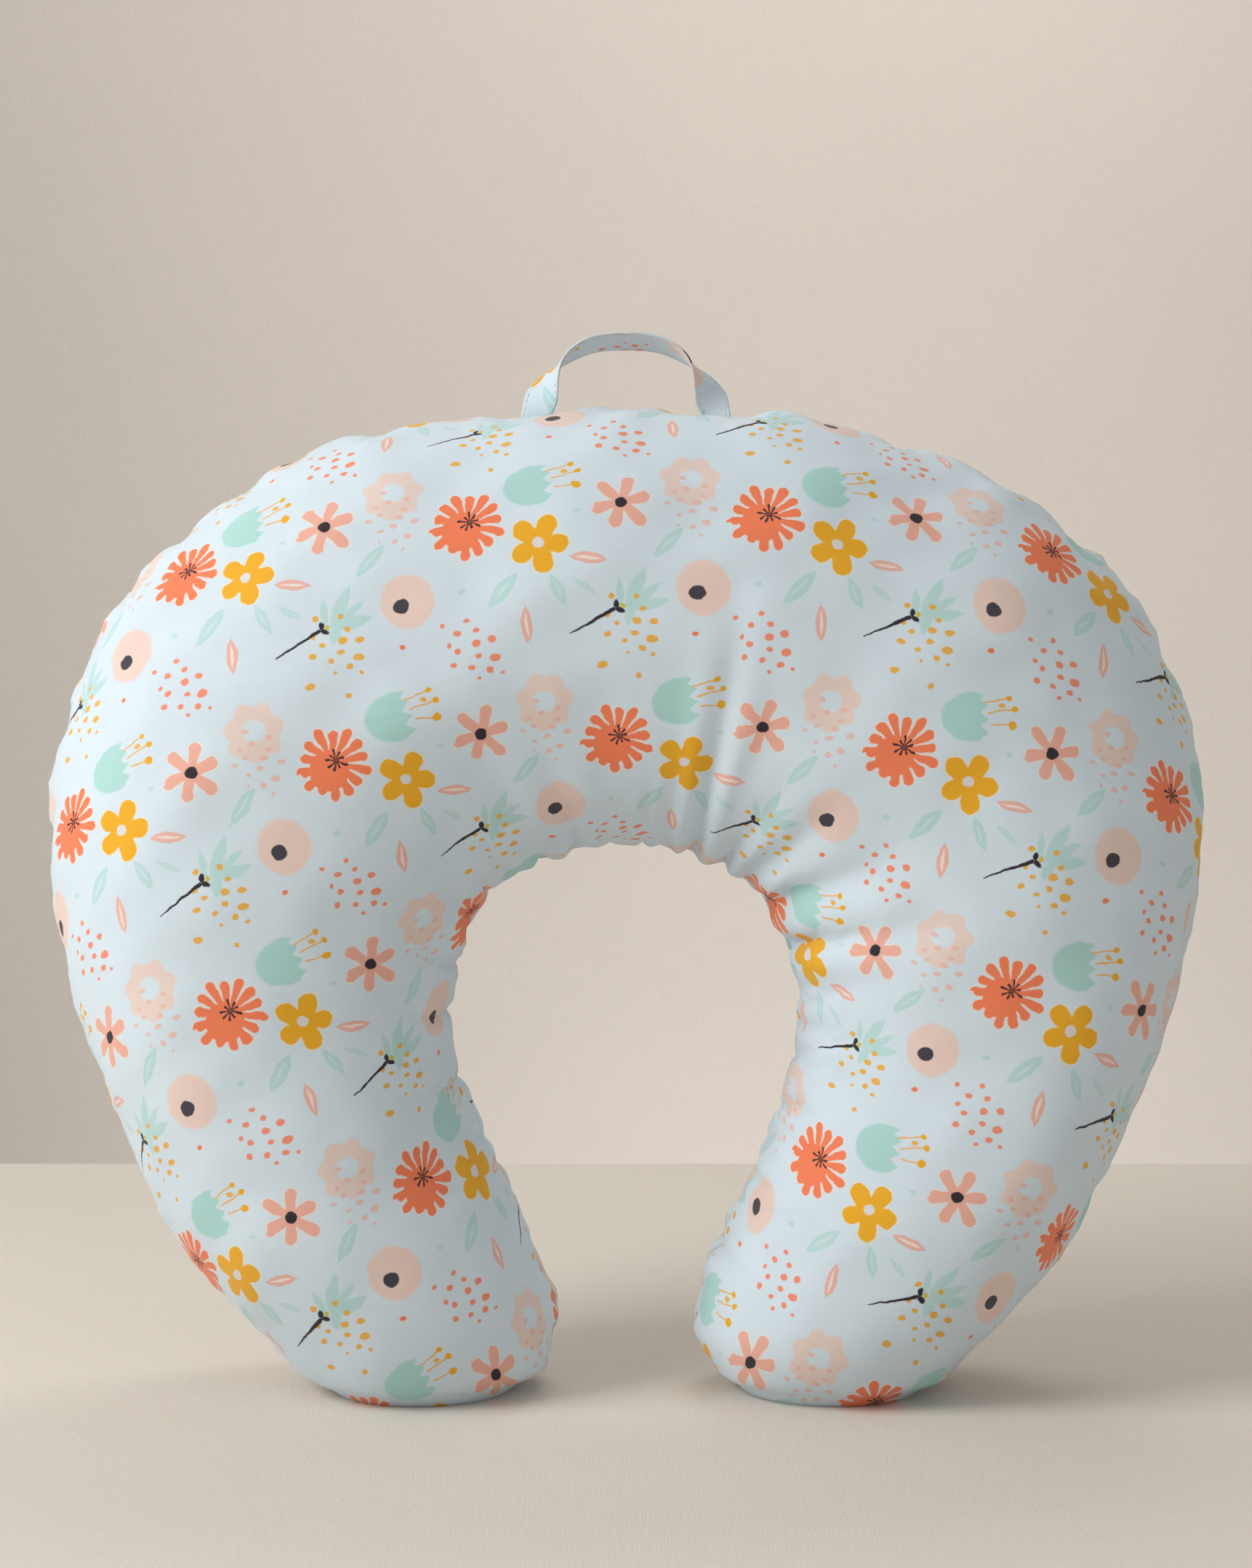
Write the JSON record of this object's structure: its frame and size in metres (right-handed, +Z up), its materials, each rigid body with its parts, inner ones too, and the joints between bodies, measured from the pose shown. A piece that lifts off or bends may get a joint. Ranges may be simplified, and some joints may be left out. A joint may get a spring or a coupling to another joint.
{
  "type": "nursing pillow",
  "caption": "Horseshoe nursing pillow with a zipped printed cotton cover, an inner fibre pillow and a fabric carrying loop at the crown.",
  "frame": {"origin": "on the surface the two feet stand on, midway between them and midway through the thickness", "axes": "+X to the pillow's right side as seen from the front, +Y to its back where the zip is, +Z up towards the carrying loop"},
  "size_m": [0.56, 0.175, 0.5222],
  "materials": {
    "printed_cotton": "pale blue plain-woven cotton with a flower print, matt",
    "lining_cloth": "plain white woven lining, matt",
    "polyester_fibre": "white hollow fibre, matt",
    "zip_tape": "pale blue knitted tape",
    "zip_nylon": "pale blue nylon monofilament, satin",
    "nickel": "nickel-plated zinc, satin",
    "label_satin": "white woven satin ribbon, blank"
  },
  "bodies": {
    "pillow": {"cover_front_panel": "printed_cotton", "cover_back_outer_panel": "printed_cotton", "cover_back_inner_panel": "printed_cotton", "lining_front_panel": "lining_cloth", "lining_back_panel": "lining_cloth", "fibre_filling": "polyester_fibre", "zip_tape_inner": "zip_tape", "zip_tape_outer": "zip_tape", "zip_coil_inner": "zip_nylon", "zip_coil_outer": "zip_nylon", "zip_top_stop": "nickel", "zip_bottom_stop": "nickel", "care_label": "label_satin"},
    "handle": {"handle_strap": "printed_cotton"},
    "zip_slider": {"zip_slider": "nickel"},
    "zip_pull": {"zip_pull_tab": "nickel"}
  },
  "joints": [
    {"name": "handle_swing", "type": "hinge", "parent": "pillow", "child": "handle", "pos_m": [0, 0, 0.48097], "axis": [1, 0, 0], "range_deg": [-70, 70], "stiffness_Nm_per_rad": 0.02},
    {"name": "zip_slider_travel", "type": "hinge", "parent": "pillow", "child": "zip_slider", "pos_m": [0, 0.08346, 0.186], "axis": [0, 1, 0], "range_deg": [-112, 0]},
    {"name": "zip_pull_flip", "type": "hinge", "parent": "zip_slider", "child": "zip_pull", "pos_m": [0.15759, 0.08562, 0.29214], "axis": [0.8294, 0, 0.5586], "range_deg": [0, 170]}
  ]
}
